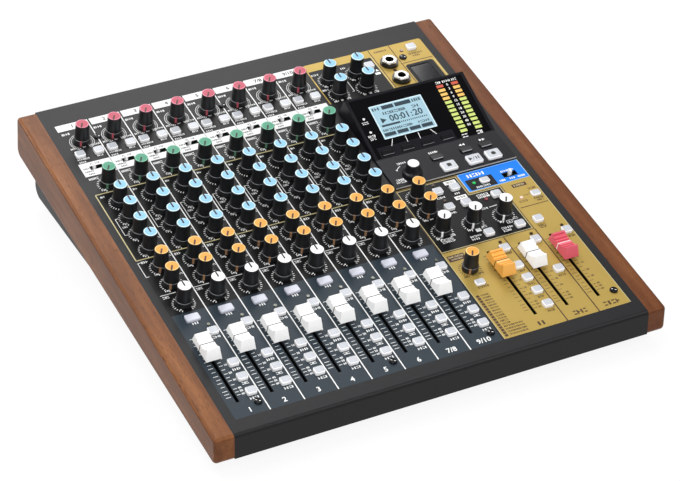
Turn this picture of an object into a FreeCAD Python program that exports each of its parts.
"""Desktop recording mixer: eight channel strips, a master section and a tilted display.

The control surface is drawn in desk coordinates: x across from the panel's left edge, y up the
slope from its front line, z out of the panel. on_desk() tilts those pieces onto the level case.
"""
import FreeCAD, Part
import math
import os

Vector = FreeCAD.Vector

# Case
side_thickness = 14.4
panel_tilt = 8.7
front_wall_height = 19.4
pan_depth = 24.0
sheet = 1.5
pan_sheet = 1.2
front_lip = 3.0
front_edge_radius = 3.0
pan_corner_radius = 8.0
rear_panel_height = 60.5
foot_height = 8.0
foot_radius = 9.0
foot_inset = 16.0
foot_front_setback = 30.0
foot_rear_setback = 19.0
wood_front_height = 21.6
wood_rear_height = 35.0
wood_rear_reach = 0.5
wood_edge_radius = 2.5
wood_end_radius = 3.0
wood_toe_radius = 4.8
wood_rear_radius = 7.0

# Channel strips, across the desk
strip_count = 8
strip_pitch = 25.1
strip_margin = 7.2
fader_offset = 7.9
assign_offset = 19.95
lamp_offset = 19.9
pad_offset = 5.6
filter_offset = 19.9
record_offset = 12.3
mode_offset = 11.7

# Channel strips, up the slope
front_margin = 24.5
fader_travel = 60.0
fader_end_play = 2.35
fader_rest = 45.95
mute_back = 2.4
assign_back = 35.2
assign_pitch = 14.4
lamp_gap = 5.0
record_gap = 14.6
pan_gap = 15.4
send_gap = 21.3
send_pitch = 18.1
band_gap = 19.8
band_pitch = 17.97
band_count = 4
comp_gap = 21.6
mode_gap = 20.7
input_button_gap = 16.1
gain_gap = 13.8
rear_margin = 43.5

# Master section, across the desk from its own left edge
master_gap = 2.3
master_width = 99.7
master_margin = 7.0
knob_offset = 10.5
blue_pitch = 23.2
white_pitch = 25.1
master_fader_edge = 17.5
master_fader_pitch = 25.4
master_button_offset = 12.6
phones_offset = 63.6
effect_knob_gap = 7.0
effect_button_gap = 14.8

# Knobs
knob_gap = 0.5
knob_foot_radius = 6.1
knob_foot_height = 3.1
knob_waist_radius = 5.6
knob_top_radius = 4.8
knob_height = 16.85
knob_edge = 0.5
pointer_width = 1.3
pointer_depth = 0.5
pointer_rise = 0.3
shaft_radius = 3.0
shaft_height = 14.0
shaft_clearance = 0.05
shaft_hole_clearance = 0.6
turned_down = 150.0

# Jog dial
dial_radius = 7.5
dial_skirt = 2.2
dial_cap_radius = 4.4
dial_height = 10.2
dial_offset = 19.2
dial_rise = 11.5

# Push buttons and keys
button_width = 7.1
button_length = 6.5
button_rise = 2.4
button_corner = 1.2
button_edge = 0.5
button_clearance = 0.3
button_travel = 1.2
record_width = 10.3
record_length = 6.8
record_rise = 1.7
low_button_length = 5.6
low_button_rise = 1.5
transport_width = 11.5
transport_length = 9.4
transport_rise = 3.5
menu_width = 9.4
menu_length = 5.2
menu_rise = 2.9
function_width = 9.4
function_length = 4.2
function_pitch = 16.5
function_offset = 12.6
function_row = 4.6
function_rise = 0.7
function_travel = 0.5
function_depth = 1.0

# Faders
cap_width = 11.5
cap_top_width = 9.4
cap_front = 12.1
cap_rear = 11.8
cap_lift = 3.0
cap_slant = 2.5
cap_rear_height = 10.3
cap_front_height = 12.0
cap_valley_height = 8.2
cap_line_width = 0.9
cap_line_depth = 0.3
cap_groove_pitch = 1.5
cap_groove_width = 0.6
cap_groove_count = 3
lever_length = 5.0
lever_thickness = 1.2
lever_depth = 6.5
slot_width = 2.5
track_width = 8.0
track_end = 3.2

# Slide switches
mode_slot_length = 9.2
mode_slot_width = 3.6
mode_cap_length = 1.6
mode_cap_rise = 3.4
mode_rest = 1.9
link_slot_length = 11.2
link_cap_rise = 4.0
slide_clearance = 0.25
slide_body_margin = 2.0
slide_body_height = 4.0

# Control board and what stands on it
board_depth = 9.5
board_sheet = 1.6
board_inset = 5.0
board_rear_reach = 17.5
pot_width = 9.6
pot_length = 11.0
switch_size = 6.6
switch_height = 3.4
stem_radius = 1.2
stem_clearance = 0.05
stem_grip = 0.5
press_gap = 0.4
lamp_radius = 1.25
lamp_rise = 0.6
lamp_clearance = 0.1
lamp_base_radius = 1.7
lamp_base_height = 6.0

# Key plate and display housing, in lengths up the slope
plate_sheet = 1.5
plate_length = 33.5
plate_gap = 12.9
plate_edge = 0.6
menu_key_gap = 21.0
housing_length = 57.0
housing_angle = 15.5
housing_back = 7.0
housing_overhang = 0.8
window_sheet = 1.0
window_inset = 2.6
window_front = 0.8
window_rear = 2.0
key_bay_clearance = 1.0
lcd_width = 44.0
lcd_length = 28.6
lcd_border = 2.5
lcd_sheet = 3.0
lcd_offset = 37.7
lcd_row = 31.9
meter_steps = 12
meter_pitch = 3.85
meter_offset = 77.2
meter_spacing = 12.4
meter_width = 4.6
meter_length = 2.4
meter_sheet = 1.2
meter_row = 6.95

# Card bay
bay_width = 19.8
bay_length = 28.6
bay_offset = 85.2
bay_gap = 11.0
bay_wall = 1.5
bay_floor = 1.0
cover_sheet = 2.0
cover_gap = 0.3
cover_pin_radius = 0.55
cover_pin_reach = 0.9
cover_pin_clearance = 0.05
cover_notch_radius = 3.0
card_block_length = 10.5
card_slot_width = 14.0
card_slot_height = 1.6

# Sockets
socket_depth = 22.0
socket_floor = 1.5
jack_bore_radius = 3.2
jack_mouth_radius = 3.4
jack_bush_radius = 4.7
jack_bush_reach = 3.2
jack_size = 14.0
jack_pitch = 16.0
nut_clearance = 0.05
nut_size = 11.0
nut_height = 2.0
collar_radius = 7.0
collar_height = 1.9
phones_bush_reach = 4.3
socket_radius = 11.0
socket_flange_radius = 12.0
socket_flange = 1.4
socket_clearance = 0.1
combo_ring_radius = 9.6
combo_core_radius = 7.4
combo_recess = 3.6
combo_ring_depth = 12.0
combo_pin_circle = 5.3
combo_pin_radius = 0.9
combo_pin_depth = 8.0
cup_radius = 9.6
cup_depth = 13.0
cup_pin_radius = 1.1
cup_pin_circle = 5.9
cup_pin_length = 10.0
combo_drop = 33.0
upper_drop = 19.0
lower_drop = 44.0
output_offset = 10.7
output_pitch = 25.0
first_jack_offset = 4.7
jack_count = 4
foot_jack_offset = 71.2
port_offset = 58.0
inlet_offset = 74.0
power_offset = 90.2
port_size = 12.2
port_reach = 0.6
port_depth = 14.0
port_bore_width = 8.6
port_bore_height = 7.8
inlet_bore_radius = 2.9
rocker_frame_width = 13.0
rocker_frame_height = 19.0
rocker_frame_depth = 12.0
rocker_width = 8.4
rocker_radius = 6.6
rocker_face = 3.2
rocker_pin_radius = 0.9
rocker_pin_reach = 1.0
rocker_gap = 0.4
rocker_turn = 6.0

# Main board
main_board_width = 236.0
main_board_length = 170.0
main_board_front = 112.0
main_board_left = 40.0
standoff_height = 6.0
standoff_radius = 3.5
capacitor_radius = 5.0
capacitor_height = 13.0
chip_size = 14.0
chip_height = 2.0
heat_sink_width = 40.0
heat_sink_length = 24.0
heat_sink_height = 12.0
fin_count = 6
fin_sheet = 1.5

# Screws
screw_radius = 1.5
screw_head_radius = 2.9
screw_head_height = 1.3
screw_length = 6.0
screw_clearance = 0.08
screw_slot_width = 0.7
screw_slot_depth = 0.6
edge_screw_inset = 5.0
spacer_radius = 3.2
bracket_width = 6.0
bracket_size = 9.0
bracket_drops = (18.0, 49.0)
side_screw_height = 9.0

# Places up the slope
slot_length = fader_travel + lever_length + 2 * fader_end_play
slot_rear = front_margin + slot_length
slot_middle = front_margin + slot_length / 2
fader_place = front_margin + fader_end_play + lever_length / 2 + fader_rest
mute_row = slot_rear - mute_back
assign_rows = [slot_rear - assign_back - i * assign_pitch for i in range(3)]
lamp_row = slot_rear + lamp_gap
record_row = slot_rear + record_gap
pan_row = record_row + pan_gap
send_rows = [pan_row + send_gap + i * send_pitch for i in range(2)]
band_rows = [send_rows[-1] + band_gap + i * band_pitch for i in range(band_count)]
comp_row = band_rows[-1] + comp_gap
mode_row = comp_row + mode_gap
input_button_row = mode_row + input_button_gap
gain_row = input_button_row + gain_gap
panel_length = gain_row + rear_margin
plate_front = send_rows[-1] + plate_gap
fold = plate_front + plate_length

# Places across the desk
master_left = strip_margin + strip_count * strip_pitch + master_gap
panel_width = master_left + master_width + master_margin

# The level case
tilt = math.radians(panel_tilt)
desk_front = foot_height + pan_depth
rear_inner = panel_length - sheet
pan_floor = foot_height + pan_sheet
board_top = -board_depth
switch_top = board_top + switch_height
skirt_bottom = switch_top + button_travel + press_gap


def column(index, offset):
    """Distance of a strip's control from the panel's left edge."""
    return strip_margin + index * strip_pitch + offset


def master(offset):
    return master_left + offset


def off_desk(depth, height):
    """Desk y and z of a point given by its level depth and its height above the table."""
    rise = height - desk_front
    return (depth * math.cos(tilt) + rise * math.sin(tilt),
            rise * math.cos(tilt) - depth * math.sin(tilt))


def off_desk_at(y, height):
    """Desk z of the level plane at a height above the table, at a distance up the slope."""
    return (height - desk_front - y * math.sin(tilt)) / math.cos(tilt)


def slope_at_depth(depth, z):
    """Desk y of the upright plane at a level depth, at a desk z."""
    return (depth + z * math.sin(tilt)) / math.cos(tilt)


def level_depth(y, z):
    return y * math.cos(tilt) - z * math.sin(tilt)


def on_desk(shape):
    """Tilts a shape drawn in desk coordinates and centres it on the case."""
    copy = shape.copy()
    copy.translate(Vector(-panel_width / 2, 0, 0))
    copy.rotate(Vector(0, 0, 0), Vector(1, 0, 0), panel_tilt)
    copy.translate(Vector(0, 0, desk_front))
    return copy


def on_fold(shape):
    """Places a shape drawn flat, with y from the fold, on the housing's slope."""
    copy = shape.copy()
    copy.rotate(Vector(0, 0, 0), Vector(1, 0, 0), housing_angle)
    copy.translate(Vector(0, fold, plate_sheet))
    return copy


def moved(shape, x, y, z=0.0):
    copy = shape.copy()
    copy.translate(Vector(x, y, z))
    return copy


def turned(shape, angle):
    copy = shape.copy()
    copy.rotate(Vector(0, 0, 0), Vector(0, 0, 1), angle)
    return copy


def copies(shape, places):
    return [moved(shape, x, y) for x, y in places]


def group(shapes):
    """One compound that holds the solids of all the shapes."""
    solids = []
    for shape in shapes:
        solids.extend(shape.Solids)
    return Part.makeCompound(solids)


def block(x0, x1, y0, y1, z0, z1):
    return Part.makeBox(x1 - x0, y1 - y0, z1 - z0, Vector(x0, y0, z0))


def centred_block(width, length, z0, z1):
    return block(-width / 2, width / 2, -length / 2, length / 2, z0, z1)


def disc(radius, z0, z1, x=0.0, y=0.0):
    return Part.makeCylinder(radius, z1 - z0, Vector(x, y, z0), Vector(0, 0, 1))


def rear_disc(radius, y0, y1, x=0.0, z=0.0):
    """Cylinder along the direction that a rear socket faces."""
    return Part.makeCylinder(radius, y1 - y0, Vector(x, y0, z), Vector(0, 1, 0))


def prism(points, width, start=0.0):
    """Solid from an outline of (y, z) points, run across the desk."""
    corners = [Vector(start, y, z) for y, z in points]
    face = Part.Face(Part.makePolygon(corners + [corners[0]]))
    return face.extrude(Vector(width, 0, 0))


def turned_solid(points):
    """Solid of revolution about z from (radius, z) points."""
    corners = [Vector(radius, 0, z) for radius, z in points]
    face = Part.Face(Part.makePolygon(corners + [corners[0]]))
    return face.revolve(Vector(0, 0, 0), Vector(0, 0, 1), 360)


def runs_along(edge, axis):
    """True for a straight edge along x, y or z (0, 1 or 2)."""
    if edge.Curve.TypeId != "Part::GeomLine":
        return False
    direction = edge.Vertexes[1].Point - edge.Vertexes[0].Point
    return abs(abs(direction[axis]) - direction.Length) < 1e-6 * direction.Length


def lies_at(edge, axis, value):
    return all(abs(vertex.Point[axis] - value) < 0.01 for vertex in edge.Vertexes)


def round_corner(solid, y, z, radius):
    """Rounds the edge that runs across the desk through one point of the outline."""
    edges = [edge for edge in solid.Edges
             if runs_along(edge, 0) and lies_at(edge, 1, y) and lies_at(edge, 2, z)]
    return solid.makeFillet(radius, edges)


def round_upright(solid, radius):
    return solid.makeFillet(radius, [edge for edge in solid.Edges if runs_along(edge, 2)])


# Where the controls are

knob_columns = [column(i, strip_pitch / 2) for i in range(strip_count)]
strip_knobs = {
    "gain": (gain_row, turned_down),
    "comp": (comp_row, turned_down),
    "eq_high": (band_rows[3], 0.0),
    "eq_mid_gain": (band_rows[2], 0.0),
    "eq_mid_freq": (band_rows[1], 0.0),
    "eq_low": (band_rows[0], 0.0),
    "send_1": (send_rows[1], turned_down),
    "send_2": (send_rows[0], turned_down),
    "pan": (pan_row, 0.0),
}
blue_places = [(master(knob_offset + i * blue_pitch), gain_row - j * send_pitch)
               for j in range(2) for i in range(2)]
orange_places = [(master(knob_offset), row) for row in send_rows]
white_places = [(master(knob_offset + i * white_pitch), pan_row) for i in range(3)]
effect_place = (master(knob_offset), fader_place + effect_knob_gap)
master_knob_places = blue_places + orange_places + white_places + [effect_place]
dial_place = (master(dial_offset), plate_front + dial_rise)

channel_slots = [column(i, fader_offset) for i in range(strip_count)]
main_slot = master(master_width - master_fader_edge)
master_slots = [main_slot - i * master_fader_pitch for i in (2, 1, 0)]
fader_columns = channel_slots + master_slots

input_buttons = [(column(i, offset), input_button_row)
                 for i in range(strip_count) for offset in (pad_offset, filter_offset)]
record_buttons = [(column(i, record_offset), record_row) for i in range(strip_count)]
mute_buttons = [(column(i, assign_offset), mute_row) for i in range(strip_count)]
assign_buttons = [(column(i, assign_offset), row)
                  for i in range(strip_count) for row in assign_rows]
right_of_slots = [x + master_button_offset for x in master_slots]
master_buttons = (
    [(master(88.6), gain_row + 14.5), (master(47.5), gain_row + 5.0)]
    + [(master(offset), row + 0.3) for offset in (27.8, 41.6) for row in send_rows]
    + [(master(66.7), send_rows[0] + 0.7)]
    + [(x - 2.4, record_row + 2.3) for x in right_of_slots[:2]]
    + [(master_slots[2] - 0.3, record_row + 2.3)]
    + [(right_of_slots[0], mute_row + step) for step in (0.5, -19.0, -32.6, -46.5, -61.3)]
    + [(right_of_slots[1], mute_row + step) for step in (0.5, -32.5)]
    + [(right_of_slots[2] + 0.6, mute_row + 1.2)]
)
low_buttons = [(effect_place[0], effect_place[1] - effect_button_gap),
               (master(66.4), plate_front - 13.1), (master(94.6), pan_row + 13.0)]

mode_switches = [(column(i, mode_offset), mode_row) for i in range(strip_count)]
link_switch = (master(87.3), plate_front - 13.4)

transport_row = plate_front + 8.6
transport_keys = [(master(offset), transport_row) for offset in (48.2, 69.4, 85.3)]
menu_keys = [(master(offset), plate_front + menu_key_gap) for offset in (44.6, 69.0, 85.4)]
function_keys = [(master(function_offset + i * function_pitch), function_row) for i in range(4)]

lamps = (
    [(column(i, lamp_offset), lamp_row) for i in range(strip_count)]
    + [(x + 12.8, lamp_row) for x in master_slots]
    + [(master(79.8), gain_row + 13.4), (master(82.3), pan_row + 12.0)]
    + [(master(28.0), row + 8.0) for row in send_rows]
    + [(master(57.6), plate_front - 13.3), (master(57.4), send_rows[0] - 1.2)]
)
top_screws = (
    [(column(i, 0.0), gain_row + 1.6) for i in (1, 5)]
    + [(master(77.0), gain_row + 5.4)]
    + [(column(i, 20.4), front_margin - 4.4) for i in (0, 4, 7)]
    + [(master(master_width - edge_screw_inset), front_margin + 0.8)]
)
phones = [(master(phones_offset), gain_row + 2.6), (master(phones_offset), gain_row - 17.9)]
bay_front = fold + housing_length * math.cos(math.radians(housing_angle)) + bay_gap

jack_places = (
    [(master(first_jack_offset + i * jack_pitch), -upper_drop) for i in range(jack_count)]
    + [(master(foot_jack_offset), -upper_drop)]
)
output_places = [(master(output_offset + i * output_pitch), -lower_drop) for i in range(2)]
rocker_place = (master(power_offset), -combo_drop)
rocker_axis = panel_length - rocker_gap


# Case

def wall_outline(inset):
    """Case outline below the panel, drawn in from the outside of the pan by a sheet's thickness."""
    front = -front_lip + sheet + inset
    floor = foot_height + inset
    rear = panel_length - inset
    return [
        off_desk(front, floor),
        (rear, off_desk_at(rear, floor)),
        (rear, -sheet),
        (slope_at_depth(front, -sheet) + front_edge_radius, -sheet),
        (slope_at_depth(front, -sheet - front_edge_radius), -sheet - front_edge_radius),
    ]


def top_panel():
    """Folded sheet: the sloping control surface and the upright front wall."""
    outer_y = slope_at_depth(-front_lip, 0.0)
    inner_y = slope_at_depth(sheet - front_lip, -sheet)
    wall_bottom = desk_front - front_wall_height
    outline = [
        off_desk(-front_lip, wall_bottom),
        off_desk(sheet - front_lip, wall_bottom),
        (inner_y, -sheet),
        (panel_length, -sheet),
        (panel_length, 0.0),
        (outer_y, 0.0),
    ]
    panel = prism(outline, panel_width)
    panel = round_corner(panel, outer_y, 0.0, front_edge_radius)
    panel = round_corner(panel, inner_y, -sheet, front_edge_radius - sheet)
    return panel.cut(Part.makeCompound(panel_holes()))


def panel_holes():
    """Cutters for everything that passes through the control surface."""
    low = -2 * sheet
    high = sheet
    shaft = disc(shaft_radius + shaft_hole_clearance, low, high)
    square = button_hole(button_width, button_length)
    lamp = disc(lamp_radius + lamp_clearance, low, high)
    screw = disc(screw_radius + screw_clearance, low, high)
    slot = centred_block(slot_width, slot_length, low, high)
    cutters = copies(shaft, [(x, row) for x in knob_columns for row, rest in strip_knobs.values()])
    cutters += copies(shaft, master_knob_places + [dial_place])
    cutters += copies(square, input_buttons + mute_buttons + assign_buttons + master_buttons)
    cutters += copies(button_hole(record_width, record_length), record_buttons)
    cutters += copies(button_hole(button_width, low_button_length), low_buttons)
    cutters += copies(button_hole(transport_width, transport_length), transport_keys)
    cutters += copies(button_hole(menu_width, menu_length), menu_keys)
    cutters += copies(lamp, lamps)
    cutters += copies(screw, top_screws)
    cutters += copies(slot, [(x, slot_middle) for x in fader_columns])
    cutters += copies(centred_block(mode_slot_length, mode_slot_width, low, high), mode_switches)
    cutters += copies(centred_block(link_slot_length, mode_slot_width, low, high), [link_switch])
    cutters += copies(disc(jack_bush_radius + socket_clearance, low, high), phones)
    cutters.append(block(*bay_edges(), low, high))
    return cutters


def button_hole(width, length):
    """Cutter for a button's clearance hole, deep enough for the panel and the key plate."""
    gap = 2 * button_clearance
    hole = centred_block(width + gap, length + gap, -2 * sheet, 2 * plate_sheet)
    return round_upright(hole, button_corner)


def bottom_pan():
    """Tray with side walls, board standoffs and the brackets that the rear panel screws to."""
    outline = wall_outline(0.0)
    tray = prism(outline, panel_width)
    inner_outline = wall_outline(pan_sheet)
    inside = prism(inner_outline, panel_width - 2 * pan_sheet, pan_sheet)
    for corner, inner_corner in zip(outline[:2], inner_outline[:2]):
        tray = round_corner(tray, *corner, pan_corner_radius)
        inside = round_corner(inside, *inner_corner, pan_corner_radius - pan_sheet)
    open_top = block(pan_sheet, panel_width - pan_sheet, -front_lip, panel_length,
                     -sheet - pan_sheet, sheet)
    rear_opening = block(pan_sheet, panel_width - pan_sheet, rear_inner - sheet, panel_length + sheet,
                         -sheet - rear_panel_height, 0.0)
    tray = tray.cut(Part.makeCompound([inside, open_top, rear_opening]))
    brackets = [rear_bracket(side, drop) for side in (0, 1) for drop in bracket_drops]
    tray = on_desk(tray.fuse(brackets))
    standoffs = [level_disc(standoff_radius, foot_height + pan_sheet / 2, pan_floor + standoff_height,
                            x, y) for x, y in board_corners()]
    tray = tray.fuse(standoffs)
    bores = [level_disc(screw_radius + screw_clearance, pan_floor, pan_floor + standoff_height + 1,
                        x, y) for x, y in board_corners()]
    side_bores = [side_bore(x, depth) for x in side_screw_sides() for depth in side_screw_depths()]
    return tray.cut(Part.makeCompound(bores + side_bores))


def rear_bracket(side, drop):
    """Block on a side wall, bored for one of the rear panel's screws."""
    x0 = side * (panel_width - pan_sheet - bracket_width) + (1 - side) * pan_sheet
    low = -drop - bracket_size / 2
    bracket = block(x0, x0 + bracket_width, rear_inner - bracket_size, rear_inner,
                    low, low + bracket_size)
    bore = rear_disc(screw_radius + screw_clearance, rear_inner - bracket_size, rear_inner,
                     x0 + bracket_width / 2, -drop)
    return bracket.cut(bore)


def rear_screw_places():
    inset = pan_sheet + bracket_width / 2
    return [(x, -drop) for x in (inset, panel_width - inset) for drop in bracket_drops]


def level_disc(radius, z0, z1, x, y):
    """Upright cylinder in the level case, with x from the case's middle."""
    return Part.makeCylinder(radius, z1 - z0, Vector(x, y, z0), Vector(0, 0, 1))


def board_corners():
    left = main_board_left - panel_width / 2
    inset = 2 * standoff_radius
    return [(left + i * (main_board_width - 2 * inset) + inset,
             main_board_front + j * (main_board_length - 2 * inset) + inset)
            for i in range(2) for j in range(2)]


def side_screw_sides():
    return (-panel_width / 2, panel_width / 2)


def side_screw_depths():
    """Level depths of the three screws that hold each wooden side."""
    span = level_depth(panel_length, 0.0)
    return [span * share for share in (0.12, 0.5, 0.88)]


def side_screw_level(depth):
    """Height of a side screw, a set distance under the sloping panel."""
    return desk_front + depth * math.tan(tilt) - side_screw_height


def side_bore(x, depth):
    reach = screw_length + side_thickness
    start = Vector(x - reach / 2, depth, side_screw_level(depth))
    return Part.makeCylinder(screw_radius + screw_clearance, reach, start, Vector(1, 0, 0))


def side_panel(side):
    """Wooden cheek with rounded ends and a rounded outer edge."""
    front = off_desk(-front_lip, desk_front - wood_front_height)
    front_top = slope_at_depth(-front_lip, 0.0)
    rear = panel_length + wood_rear_reach
    outline = [front, (rear, -wood_rear_height), (rear, 0.0), (front_top, 0.0)]
    cheek = prism(outline, side_thickness, -side_thickness)
    cheek = round_corner(cheek, front_top, 0.0, wood_end_radius)
    cheek = round_corner(cheek, rear, 0.0, wood_end_radius)
    cheek = round_corner(cheek, front[0], front[1], wood_toe_radius)
    cheek = round_corner(cheek, rear, -wood_rear_height, wood_rear_radius)
    outer = [edge for edge in cheek.Edges if lies_at(edge, 0, -side_thickness)]
    cheek = cheek.makeFillet(wood_edge_radius, outer)
    if side == 1:
        cheek = cheek.mirror(Vector(panel_width / 2, 0, 0), Vector(1, 0, 0))
    cheek = on_desk(cheek)
    depth = screw_length - pan_sheet + screw_clearance
    x = side_screw_sides()[side]
    start = x if side == 1 else x - depth
    bores = [Part.makeCylinder(screw_radius + screw_clearance, depth,
                               Vector(start, y, side_screw_level(y)), Vector(1, 0, 0))
             for y in side_screw_depths()]
    return cheek.cut(Part.makeCompound(bores))


def foot_places():
    x = panel_width / 2 - foot_inset
    front = foot_front_setback - front_lip
    rear = level_depth(panel_length, off_desk_at(panel_length, foot_height)) - foot_rear_setback
    return [(side * x, y) for side in (-1, 1) for y in (front, rear)]


def feet():
    foot = Part.makeCylinder(foot_radius, foot_height)
    foot = foot.makeChamfer(foot_height / 4, [foot.Edges[index] for index in rim_of(foot, 0.0)])
    return group([moved(foot, x, y) for x, y in foot_places()])


def rim_of(solid, z):
    """Indexes of the edges that lie in a level plane."""
    return [index for index, edge in enumerate(solid.Edges) if lies_at(edge, 2, z)]


def rear_panel():
    """Plate between the pan's side walls, bored for every socket."""
    plate = block(pan_sheet, panel_width - pan_sheet, rear_inner, panel_length,
                  -sheet - rear_panel_height, -sheet)
    y0 = rear_inner - sheet
    y1 = panel_length + sheet
    cutters = [rear_disc(socket_radius + socket_clearance, y0, y1, x, -combo_drop)
               for x in knob_columns]
    cutters += [rear_disc(socket_radius + socket_clearance, y0, y1, x, z)
                for x, z in output_places]
    cutters += [rear_disc(jack_bush_radius + socket_clearance, y0, y1, x, z)
                for x, z in jack_places]
    cutters += [rear_disc(screw_radius + screw_clearance, y0, y1, x, z)
                for x, z in rear_screw_places()]
    port = port_size / 2 + socket_clearance
    cutters += [block(x - port, x + port, y0, y1, -lower_drop - port, -lower_drop + port)
                for x in (master(port_offset), master(inlet_offset))]
    half_width = rocker_width / 2 + 2 * rocker_gap + rocker_pin_reach + socket_clearance
    half_height = rocker_frame_height / 2 - sheet
    x, z = rocker_place
    cutters.append(block(x - half_width, x + half_width, y0, y1, z - half_height, z + half_height))
    return plate.cut(Part.makeCompound(cutters))


# Boards and inner parts

def control_board():
    """Board under the control surface, with the spacers that the top screws hold."""
    board = block(board_inset, panel_width - board_inset, board_inset, gain_row + board_rear_reach,
                  board_top - board_sheet, board_top)
    spacers = copies(disc(spacer_radius, board_top - board_sheet / 2, -sheet), top_screws)
    board = board.fuse(spacers)
    cutters = copies(disc(screw_radius + screw_clearance, board_top, 0.0), top_screws)
    hole = jack_size + 4 * socket_clearance
    cutters += copies(centred_block(hole, hole, board_top - 2 * board_sheet, board_top + 1), phones)
    return board.cut(Part.makeCompound(cutters))


def potentiometers():
    """Every rotary control under the panel, each with its shaft, and the jog dial's encoder."""
    body = centred_block(pot_width, pot_length, board_top, -sheet)
    pot = body.fuse(disc(shaft_radius, -sheet - 1, shaft_height))
    places = [(x, row) for x in knob_columns for row, rest in strip_knobs.values()]
    dial_shaft = disc(shaft_radius, -sheet - 1, plate_sheet + dial_height / 2)
    encoder = body.fuse(dial_shaft)
    return group(copies(pot, places + master_knob_places) + copies(encoder, [dial_place]))


def fader_tracks():
    track = centred_block(track_width, slot_length + 2 * track_end, board_top, -sheet)
    groove = centred_block(slot_width, slot_length, -lever_depth - press_gap, 0.0)
    track = track.cut(groove)
    return group(copies(track, [(x, slot_middle) for x in fader_columns]))


def panel_switches():
    """Push switch bodies, bored for the buttons' stems, and the slide switch bodies."""
    body = centred_block(switch_size, switch_size, board_top, switch_top)
    bore_bottom = skirt_bottom - press_gap - button_travel - stem_grip - button_travel - press_gap
    push = body.cut(disc(stem_radius + stem_clearance, bore_bottom, 0.0))
    pushes = input_buttons + record_buttons + mute_buttons + assign_buttons + master_buttons
    pushes = pushes + low_buttons + transport_keys + menu_keys
    switches = copies(push, pushes)
    switches += copies(slide_body(mode_slot_length), mode_switches)
    switches += copies(slide_body(link_slot_length), [link_switch])
    return group(switches)


def slide_body(travel_length):
    """Housing of a slide switch, with the channel that its slider runs in."""
    top = board_top + slide_body_height
    body = centred_block(travel_length + 2 * slide_body_margin,
                         mode_slot_width + 2 * slide_body_margin, board_top, top)
    channel = centred_block(travel_length, mode_slot_width, board_top + slide_body_height / 2,
                            top + 1)
    return body.cut(channel)


def lamp_group():
    """Indicator lamps on their light guides."""
    base = disc(lamp_base_radius, board_top, board_top + lamp_base_height)
    lamp = base.fuse(disc(lamp_radius, board_top + lamp_base_height - 1, lamp_rise))
    return group(copies(lamp, lamps))


def input_board():
    """Upright board behind the rear sockets."""
    y1 = rear_inner - socket_depth
    return block(board_inset, panel_width - board_inset, y1 - board_sheet, y1,
                 -sheet - rear_panel_height + standoff_height, board_top - board_sheet)


def main_board():
    """Level board on the pan's standoffs, with chips, capacitors and a finned heat sink."""
    z0 = pan_floor + standoff_height
    z1 = z0 + board_sheet
    left = main_board_left - panel_width / 2
    front = main_board_front
    board = block(left, left + main_board_width, front, front + main_board_length, z0, z1)
    parts = []
    for i in range(5):
        x = left + main_board_width * (i + 1) / 7
        y = front + main_board_length * 0.3
        parts.append(block(x, x + chip_size, y, y + chip_size, z1 - 0.5, z1 + chip_height))
    for i in range(6):
        x = left + main_board_width * (i + 1) / 8
        parts.append(level_disc(capacitor_radius, z1 - 0.5, z1 + capacitor_height,
                                x, front + main_board_length * 0.75))
    sink_left = left + main_board_width - 2 * heat_sink_width
    sink_front = front + main_board_length * 0.45
    parts.append(block(sink_left, sink_left + heat_sink_width, sink_front,
                       sink_front + heat_sink_length, z1 - 0.5, z1 + 2 * fin_sheet))
    for i in range(fin_count):
        x = sink_left + i * (heat_sink_width - fin_sheet) / (fin_count - 1)
        parts.append(block(x, x + fin_sheet, sink_front, sink_front + heat_sink_length,
                           z1, z1 + heat_sink_height))
    bores = [level_disc(screw_radius + screw_clearance, z0 - 1, z1 + 1, x, y)
             for x, y in board_corners()]
    return board.fuse(parts).cut(Part.makeCompound(bores))


# Knobs, buttons and faders

def knob(rest=0.0):
    """Tapered knob on a wider foot, bored for its shaft, with a pointer line."""
    foot_top = knob_gap + knob_foot_height
    top = knob_gap + knob_height
    body = turned_solid([
        (0.0, knob_gap),
        (knob_foot_radius, knob_gap),
        (knob_foot_radius, foot_top - knob_edge),
        (knob_foot_radius - knob_edge, foot_top),
        (knob_waist_radius, foot_top),
        (knob_top_radius, top - knob_edge),
        (knob_top_radius - knob_edge, top),
        (0.0, top),
    ])
    ridge = block(-pointer_width / 2, pointer_width / 2, knob_top_radius,
                  knob_foot_radius + pointer_rise, knob_gap, foot_top + pointer_rise)
    body = body.fuse(ridge)
    bore = disc(shaft_radius + shaft_clearance, 0.0, shaft_height + knob_gap)
    groove = block(-pointer_width / 2, pointer_width / 2, 0.0, knob_foot_radius,
                   top - pointer_depth, top + 1)
    return turned(body.cut(Part.makeCompound([bore, groove])), rest)


def jog_dial():
    z0 = plate_sheet + knob_gap
    top = plate_sheet + dial_height + knob_gap / 2
    body = turned_solid([
        (0.0, z0),
        (dial_radius, z0),
        (dial_radius, z0 + dial_skirt),
        (dial_cap_radius + knob_edge, top - 2 * knob_edge),
        (dial_cap_radius, top - 2 * knob_edge),
        (dial_cap_radius - knob_edge, top),
        (0.0, top),
    ])
    bore = disc(shaft_radius + shaft_clearance, 0.0, plate_sheet + dial_height / 2 + knob_gap)
    return moved(body.cut(bore), *dial_place)


def push_button(width, length, rise):
    """Button that stands through its hole, with a stem down into its switch."""
    cap = round_upright(centred_block(width, length, skirt_bottom, rise), button_corner)
    cap = cap.makeChamfer(button_edge, [cap.Edges[index] for index in rim_of(cap, rise)])
    return cap.fuse(disc(stem_radius, switch_top - stem_grip, skirt_bottom + 1))


def function_key():
    cap = round_upright(centred_block(function_width, function_length, -function_depth,
                                      function_rise), button_corner / 2)
    return cap.makeChamfer(button_edge / 2, [cap.Edges[index] for index in rim_of(cap, function_rise)])


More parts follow.
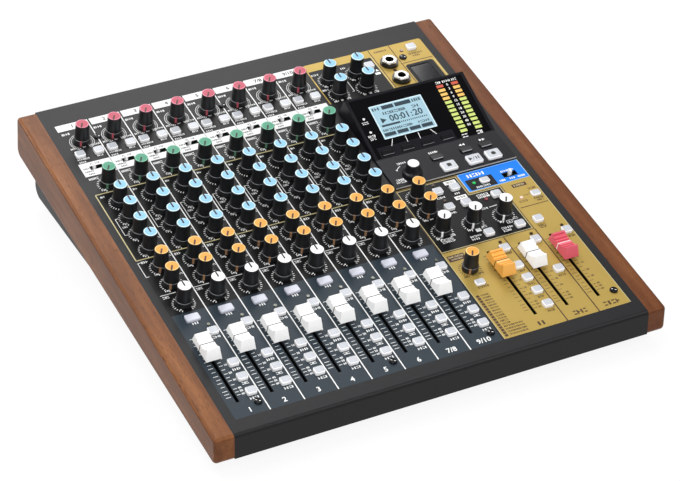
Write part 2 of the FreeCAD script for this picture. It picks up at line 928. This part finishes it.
def fader_cap():
    """Cap with a hollowed back, slanted ends and leaning sides, in one piece with its lever."""
    saddle = saddle_curve()
    points = [
        saddle.EndPoint,
        Vector(0, cap_rear, cap_lift),
        Vector(0, -cap_front, cap_lift),
        saddle.StartPoint,
    ]
    edges = [Part.LineSegment(points[i], points[i + 1]).toShape() for i in range(3)]
    edges.append(saddle.toShape())
    cap = Part.Face(Part.Wire(edges)).extrude(Vector(cap_width, 0, 0))
    cap.translate(Vector(-cap_width / 2, 0, 0))
    cap = cap.common(leaning_sides())
    cutters = [centred_block(cap_width + 1, cap_line_width, cap_valley_height - cap_line_depth,
                             cap_valley_height + 1)]
    for i in range(cap_groove_count):
        y = cap_rear - cap_slant - (i + 1) * cap_groove_pitch
        height = saddle_height(y)
        groove = centred_block(cap_width + 1, cap_groove_width, height - cap_line_depth, height + 2)
        cutters.append(moved(groove, 0.0, y))
    lever = centred_block(lever_thickness, lever_length, -lever_depth, cap_lift + 1)
    return cap.cut(Part.makeCompound(cutters)).fuse(lever)


def saddle_curve():
    """Hollow back of the cap, from its front edge over the middle to its rear edge."""
    front = Vector(0, cap_slant - cap_front, cap_front_height)
    rear = Vector(0, cap_rear - cap_slant, cap_rear_height)
    return Part.Arc(front, Vector(0, 0, cap_valley_height), rear)


def saddle_height(y):
    """Height of the cap's hollow at a distance behind its middle."""
    circle = saddle_curve().toShape().Curve
    return circle.Center.z - math.sqrt(circle.Radius ** 2 - (y - circle.Center.y) ** 2)


def leaning_sides():
    """Block as long as the cap, wide at its foot and narrow at its highest edge."""
    foot = cap_width / 2
    top = cap_top_width / 2
    outline = [(-foot, cap_lift), (foot, cap_lift), (top, cap_front_height), (-top, cap_front_height)]
    corners = [Vector(x, -cap_front, z) for x, z in outline]
    face = Part.Face(Part.makePolygon(corners + [corners[0]]))
    return face.extrude(Vector(0, cap_front + cap_rear, 0))


def slide_cap(rise):
    """Slider of a slide switch, drawn at the middle of its slot."""
    width = mode_slot_width - 2 * slide_clearance
    return centred_block(mode_cap_length, width, board_top + slide_body_height / 2 + slide_clearance,
                         rise)


# Display

def housing_rear():
    """Desk y and z of the housing's rear top edge."""
    angle = math.radians(housing_angle)
    return (fold + housing_length * math.cos(angle), plate_sheet + housing_length * math.sin(angle))


def housing_sides():
    return master_left + 0.2, master_left + master_width + housing_overhang


def display_housing():
    """Key plate and display wedge in one moulding, with pockets for what they carry."""
    left, right = housing_sides()
    rear_y, rear_z = housing_rear()
    outline = [
        (plate_front, 0.0),
        (rear_y + housing_back, 0.0),
        (rear_y, rear_z),
        (fold, plate_sheet),
        (plate_front + plate_edge, plate_sheet),
        (plate_front, plate_sheet - plate_edge),
    ]
    housing = prism(outline, right - left, left)
    cutters = copies(disc(shaft_radius + shaft_hole_clearance, -1.0, 2 * plate_sheet), [dial_place])
    cutters += copies(button_hole(transport_width, transport_length), transport_keys)
    cutters += copies(button_hole(menu_width, menu_length), menu_keys)
    pocket = centred_block(function_width + 2 * button_clearance,
                           function_length + 2 * button_clearance,
                           -function_depth - function_travel - button_clearance, 2 * function_rise)
    cutters += [on_fold(shape) for shape in copies(pocket, function_keys)]
    cutters += [on_fold(window_shape()), on_fold(lcd_shape()), on_fold(meter_pocket())]
    return housing.cut(Part.makeCompound(cutters))


def window_shape():
    """Window plate with a bay left free for the function keys."""
    left, right = housing_sides()
    pane = block(left + window_inset, right - window_inset, window_front,
                 housing_length - window_rear, -window_sheet, 0.0)
    reach = function_width / 2 + 2 * key_bay_clearance
    bay = block(function_keys[0][0] - reach, function_keys[-1][0] + reach, 0.0,
                function_row + function_length / 2 + 2 * button_clearance + key_bay_clearance * 3,
                -2 * window_sheet, window_sheet)
    return pane.cut(bay)


def lcd_shape():
    pane = centred_block(lcd_width + 2 * lcd_border, lcd_length + 2 * lcd_border,
                         -window_sheet - lcd_sheet, -window_sheet)
    return moved(pane, master(lcd_offset), lcd_row)


def meter_columns():
    return [master(meter_offset), master(meter_offset) + meter_spacing]


def meter_pocket():
    margin = meter_length / 2
    return block(meter_columns()[0] - meter_width / 2, meter_columns()[1] + meter_width / 2,
                 meter_row - margin, meter_row + (meter_steps - 1) * meter_pitch + margin,
                 -window_sheet - meter_sheet, -window_sheet)


def meter_lamps():
    segment = centred_block(meter_width, meter_length, -window_sheet - meter_sheet, -window_sheet)
    places = [(x, meter_row + i * meter_pitch) for x in meter_columns() for i in range(meter_steps)]
    return group(copies(segment, places))


# Card bay

def bay_edges():
    """Left, right, front and rear edges of the card bay's hole."""
    middle = master(bay_offset)
    return (middle - bay_width / 2, middle + bay_width / 2, bay_front, bay_front + bay_length)


def hinge_line():
    """Desk y and z of the card cover's hinge pins."""
    return bay_edges()[3] - bay_wall - cover_gap - cover_sheet / 2, -cover_sheet / 2


def card_socket():
    """Tub under the panel, with the card's slotted block on its floor and the hinge's bores."""
    x0, x1, y0, y1 = bay_edges()
    tub = block(x0, x1, y0, y1, board_top, 0.0)
    floor = board_top + bay_floor
    tub = tub.cut(block(x0 + bay_wall, x1 - bay_wall, y0 + bay_wall, y1 - bay_wall, floor, 1.0))
    card_top = floor + card_slot_height + 2 * bay_floor
    holder = block(x0 + bay_wall, x1 - bay_wall, y1 - bay_wall - card_block_length, y1 - bay_wall,
                   floor, card_top)
    middle = (x0 + x1) / 2
    slot = block(middle - card_slot_width / 2, middle + card_slot_width / 2,
                 y1 - bay_wall - card_block_length - 1, y1 - 2 * bay_wall,
                 floor + bay_floor, floor + bay_floor + card_slot_height)
    y, z = hinge_line()
    pins = Part.makeCylinder(cover_pin_radius + cover_pin_clearance,
                             x1 - x0 - 2 * (bay_wall - cover_pin_reach),
                             Vector(x0 + bay_wall - cover_pin_reach, y, z), Vector(1, 0, 0))
    return tub.fuse(holder).cut(Part.makeCompound([slot, pins]))


def card_cover():
    """Flap that closes the bay flush with the panel and turns on two pins at its rear."""
    x0, x1, y0, y1 = bay_edges()
    y, z = hinge_line()
    left = x0 + bay_wall + cover_gap
    width = x1 - x0 - 2 * (bay_wall + cover_gap)
    front = y0 + bay_wall + cover_gap
    flap = block(left, left + width, front, y, -cover_sheet, 0.0)
    barrel = Part.makeCylinder(cover_sheet / 2, width, Vector(left, y, z), Vector(1, 0, 0))
    reach = cover_gap + cover_pin_reach - cover_pin_clearance
    pins = Part.makeCylinder(cover_pin_radius, width + 2 * reach, Vector(left - reach, y, z),
                             Vector(1, 0, 0))
    notch = disc(cover_notch_radius, -cover_sheet - 1, 1.0, left + width / 4, front)
    return flap.cut(notch).fuse([barrel, pins])


# Sockets and the rear controls

def combo_sockets():
    """Round sockets that take a three-pin plug in their ring or a jack in their middle."""
    face = panel_length + socket_flange
    back = rear_inner - socket_depth
    body = rear_disc(socket_radius, back, panel_length).fuse(
        rear_disc(socket_flange_radius, panel_length, face))
    core_face = face - combo_recess
    ring = rear_disc(combo_ring_radius, face - combo_ring_depth, face + 1).cut(
        rear_disc(combo_core_radius, face - combo_ring_depth - 1, core_face))
    bore = rear_disc(jack_bore_radius, back + socket_floor, face)
    pin_holes = [rear_disc(combo_pin_radius, core_face - combo_pin_depth, face,
                           combo_pin_circle * math.cos(angle), combo_pin_circle * math.sin(angle))
                 for angle in pin_angles()]
    socket = body.cut(Part.makeCompound([ring, bore])).cut(Part.makeCompound(pin_holes))
    return [moved(socket, x, 0.0, -combo_drop) for x in knob_columns]


def pin_angles():
    return [math.radians(90 + i * 120) for i in range(3)]


def output_sockets():
    """Cupped sockets with three pins."""
    face = panel_length + socket_flange
    body = rear_disc(socket_radius, face - cup_depth - 2 * socket_floor, panel_length).fuse(
        rear_disc(socket_flange_radius, panel_length, face))
    body = body.cut(rear_disc(cup_radius, face - cup_depth, face + 1))
    pins = [rear_disc(cup_pin_radius, face - cup_depth - 1, face - cup_depth + cup_pin_length,
                      cup_pin_circle * math.cos(angle), cup_pin_circle * math.sin(angle))
            for angle in pin_angles()]
    socket = body.fuse(pins)
    return [moved(socket, x, 0.0, z) for x, z in output_places]


def jack(bush_reach):
    """Jack socket along z, with its panel's outer face at z = 0."""
    body = centred_block(jack_size, jack_size, -sheet - socket_depth, -sheet)
    body = body.fuse(disc(jack_bush_radius, -sheet - 1, bush_reach))
    bore = disc(jack_bore_radius, -sheet - socket_depth + socket_floor, bush_reach)
    mouth = disc(jack_mouth_radius, -sheet, bush_reach)
    return body.cut(Part.makeCompound([bore, mouth]))


def facing_rear(shape, x, z):
    """Turns a shape drawn along z to face out of the rear panel."""
    copy = shape.copy()
    copy.rotate(Vector(0, 0, 0), Vector(1, 0, 0), -90)
    copy.translate(Vector(x, panel_length, z))
    return copy


def jack_sockets():
    rear = jack(jack_bush_reach)
    return group([facing_rear(rear, x, z) for x, z in jack_places]
                 + copies(jack(phones_bush_reach), phones))


def hex_nut(base):
    radius = nut_size / math.sqrt(3)
    corners = [Vector(radius * math.cos(math.radians(60 * i)), radius * math.sin(math.radians(60 * i)),
                      base) for i in range(6)]
    nut = Part.Face(Part.makePolygon(corners + [corners[0]])).extrude(Vector(0, 0, nut_height))
    return nut.cut(disc(jack_bush_radius + nut_clearance, base - 1, base + nut_height + 1))


def jack_nuts():
    """Hex nuts of every jack, and the raised collars of the headphone jacks."""
    collar = disc(collar_radius, 0.0, collar_height).cut(
        disc(jack_bush_radius + nut_clearance, -1.0, collar_height + 1))
    return group([facing_rear(hex_nut(0.0), x, z) for x, z in jack_places]
                 + copies(collar, phones) + copies(hex_nut(collar_height), phones))


def port_body(x):
    return block(x - port_size / 2, x + port_size / 2, panel_length - port_depth,
                 panel_length + port_reach, -lower_drop - port_size / 2, -lower_drop + port_size / 2)


def data_port():
    x = master(port_offset)
    bore = block(x - port_bore_width / 2, x + port_bore_width / 2,
                 panel_length - port_depth + socket_floor, panel_length + 1,
                 -lower_drop - port_bore_height / 2, -lower_drop + port_bore_height / 2)
    return port_body(x).cut(bore)


def power_inlet():
    x = master(inlet_offset)
    bore = rear_disc(inlet_bore_radius, panel_length - port_depth + socket_floor, panel_length + 1,
                     x, -lower_drop)
    return port_body(x).cut(bore)


def rocker_frame():
    """Frame of the power switch, with side bores for the rocker's pins."""
    x, z = rocker_place
    inner_width = rocker_width + 2 * rocker_gap
    outer_width = inner_width + 2 * rocker_pin_reach
    inner_height = 2 * (rocker_radius + rocker_gap)
    outer_height = rocker_frame_height - 2 * sheet
    frame = block(x - outer_width / 2, x + outer_width / 2, panel_length - rocker_frame_depth,
                  panel_length, z - outer_height / 2, z + outer_height / 2)
    frame = frame.fuse(block(x - rocker_frame_width / 2, x + rocker_frame_width / 2, panel_length,
                             panel_length + port_reach, z - rocker_frame_height / 2,
                             z + rocker_frame_height / 2))
    pocket = block(x - inner_width / 2, x + inner_width / 2, rocker_axis - rocker_radius - rocker_gap,
                   panel_length + 1, z - inner_height / 2, z + inner_height / 2)
    bore_length = inner_width + 2 * rocker_pin_reach
    bore = Part.makeCylinder(rocker_pin_radius + shaft_clearance, bore_length,
                             Vector(x - bore_length / 2, rocker_axis, z), Vector(1, 0, 0))
    return frame.cut(Part.makeCompound([pocket, bore]))


def power_rocker():
    """Rocker with a flat face, drawn tipped to its off side."""
    x, z = rocker_place
    body = Part.makeCylinder(rocker_radius, rocker_width, Vector(x - rocker_width / 2, 0, 0),
                             Vector(1, 0, 0))
    body = body.cut(block(x - rocker_width, x + rocker_width, rocker_face, 2 * rocker_radius,
                          -2 * rocker_radius, 2 * rocker_radius))
    reach = rocker_gap + rocker_pin_reach - rocker_gap / 2
    pins = Part.makeCylinder(rocker_pin_radius, rocker_width + 2 * reach,
                             Vector(x - rocker_width / 2 - reach, 0, 0), Vector(1, 0, 0))
    body = body.fuse(pins)
    body.rotate(Vector(0, 0, 0), Vector(1, 0, 0), rocker_turn)
    body.translate(Vector(0, rocker_axis, z))
    return body


# Screws

def screw():
    """Cross-slotted screw along z, its head standing on z = 0."""
    head = disc(screw_head_radius, 0.0, screw_head_height)
    head = head.makeChamfer(screw_head_height / 3,
                            [head.Edges[index] for index in rim_of(head, screw_head_height)])
    body = head.fuse(disc(screw_radius, -screw_length, 0.5))
    slot = centred_block(screw_slot_width, screw_head_radius * 1.4,
                         screw_head_height - screw_slot_depth, screw_head_height + 1)
    return body.cut(Part.makeCompound([slot, turned(slot, 90)]))


def desk_screws():
    return group(copies(screw(), top_screws)
                 + [facing_rear(screw(), x, z) for x, z in rear_screw_places()])


def level_screws():
    """Screws of the main board and of the wooden sides."""
    board_top_height = pan_floor + standoff_height + board_sheet
    screws = [moved(screw(), x, y, board_top_height) for x, y in board_corners()]
    for side, x in zip((-1, 1), side_screw_sides()):
        for depth in side_screw_depths():
            copy = screw()
            copy.rotate(Vector(0, 0, 0), Vector(0, 1, 0), -90 * side)
            copy.translate(Vector(x - side * pan_sheet, depth, side_screw_level(depth)))
            screws.append(copy)
    return screws


# Assembly

def build():
    """All pieces by node name, in the level frame, before the origin is set."""
    desk = {
        "top_panel": top_panel(),
        "rear_panel": rear_panel(),
        "control_board": control_board(),
        "input_board": input_board(),
        "potentiometers": potentiometers(),
        "fader_tracks": fader_tracks(),
        "panel_switches": panel_switches(),
        "indicator_lamps": lamp_group(),
        "display_housing": display_housing(),
        "display_window": on_fold(window_shape()),
        "lcd_module": on_fold(lcd_shape()),
        "meter_lamps": on_fold(meter_lamps()),
        "card_socket": card_socket(),
        "card_cover": card_cover(),
        "xlr_sockets": group(combo_sockets() + output_sockets()),
        "jack_sockets": jack_sockets(),
        "jack_nuts": jack_nuts(),
        "rear_ports": group([data_port(), power_inlet(), rocker_frame()]),
        "power_switch": power_rocker(),
        "jog_dial": jog_dial(),
    }
    for name, (row, rest) in strip_knobs.items():
        desk[name + "_knob_1"] = moved(knob(rest), knob_columns[0], row)
    desk["channel_knobs"] = group([moved(knob(rest), x, row) for x in knob_columns[1:]
                                   for row, rest in strip_knobs.values()])
    at_rest = [0.0] * len(blue_places) + [turned_down] * len(orange_places)
    at_rest += [turned_down] * len(white_places) + [turned_down]
    desk["master_knobs"] = group([moved(knob(rest), x, y)
                                  for (x, y), rest in zip(master_knob_places, at_rest)])
    names = ["fader_%d" % (i + 1) for i in range(strip_count)]
    names += ["effect_fader", "sub_fader", "main_fader"]
    for name, x in zip(names, fader_columns):
        desk[name] = moved(fader_cap(), x, fader_place)

    square = push_button(button_width, button_length, button_rise)
    menu_key = push_button(menu_width, menu_length, menu_rise)
    low = push_button(button_width, low_button_length, low_button_rise)
    desk["input_buttons"] = group(copies(square, input_buttons))
    desk["mute_buttons"] = group(copies(square, mute_buttons))
    desk["assign_buttons"] = group(copies(square, assign_buttons))
    desk["master_buttons"] = group(copies(square, master_buttons) + copies(low, low_buttons))
    desk["record_buttons"] = group(copies(push_button(record_width, record_length, record_rise),
                                          record_buttons))
    desk["menu_keys"] = group(copies(menu_key, menu_keys))
    transport = push_button(transport_width, transport_length, transport_rise)
    for name, place in zip(("stop_key", "play_key", "record_key"), transport_keys):
        desk[name] = moved(transport, *place)
    desk["function_keys"] = group([on_fold(key) for key in copies(function_key(), function_keys)])
    mode_places = [(x - mode_rest, y) for x, y in mode_switches]
    desk["mode_switches"] = group(copies(slide_cap(mode_cap_rise), mode_places))
    desk["link_switch"] = moved(slide_cap(link_cap_rise), *link_switch)

    nodes = {name: on_desk(shape) for name, shape in desk.items()}
    nodes["bottom_pan"] = bottom_pan()
    nodes["left_side_panel"] = side_panel(0)
    nodes["right_side_panel"] = side_panel(1)
    nodes["feet"] = feet()
    nodes["main_board"] = main_board()
    nodes["screws"] = group([on_desk(desk_screws())] + level_screws())
    return nodes


def origin_of(nodes):
    """Middle of the bottom of the box round all the pieces."""
    whole = FreeCAD.BoundBox()
    for shape in nodes.values():
        whole.add(shape.BoundBox)
    return Vector(0, (whole.YMin + whole.YMax) / 2, whole.ZMin)


nodes = build()
origin = origin_of(nodes)
os.makedirs("parts", exist_ok=True)
for name, shape in nodes.items():
    shape.translate(-origin)
    shape.exportStep("parts/" + name + ".step")
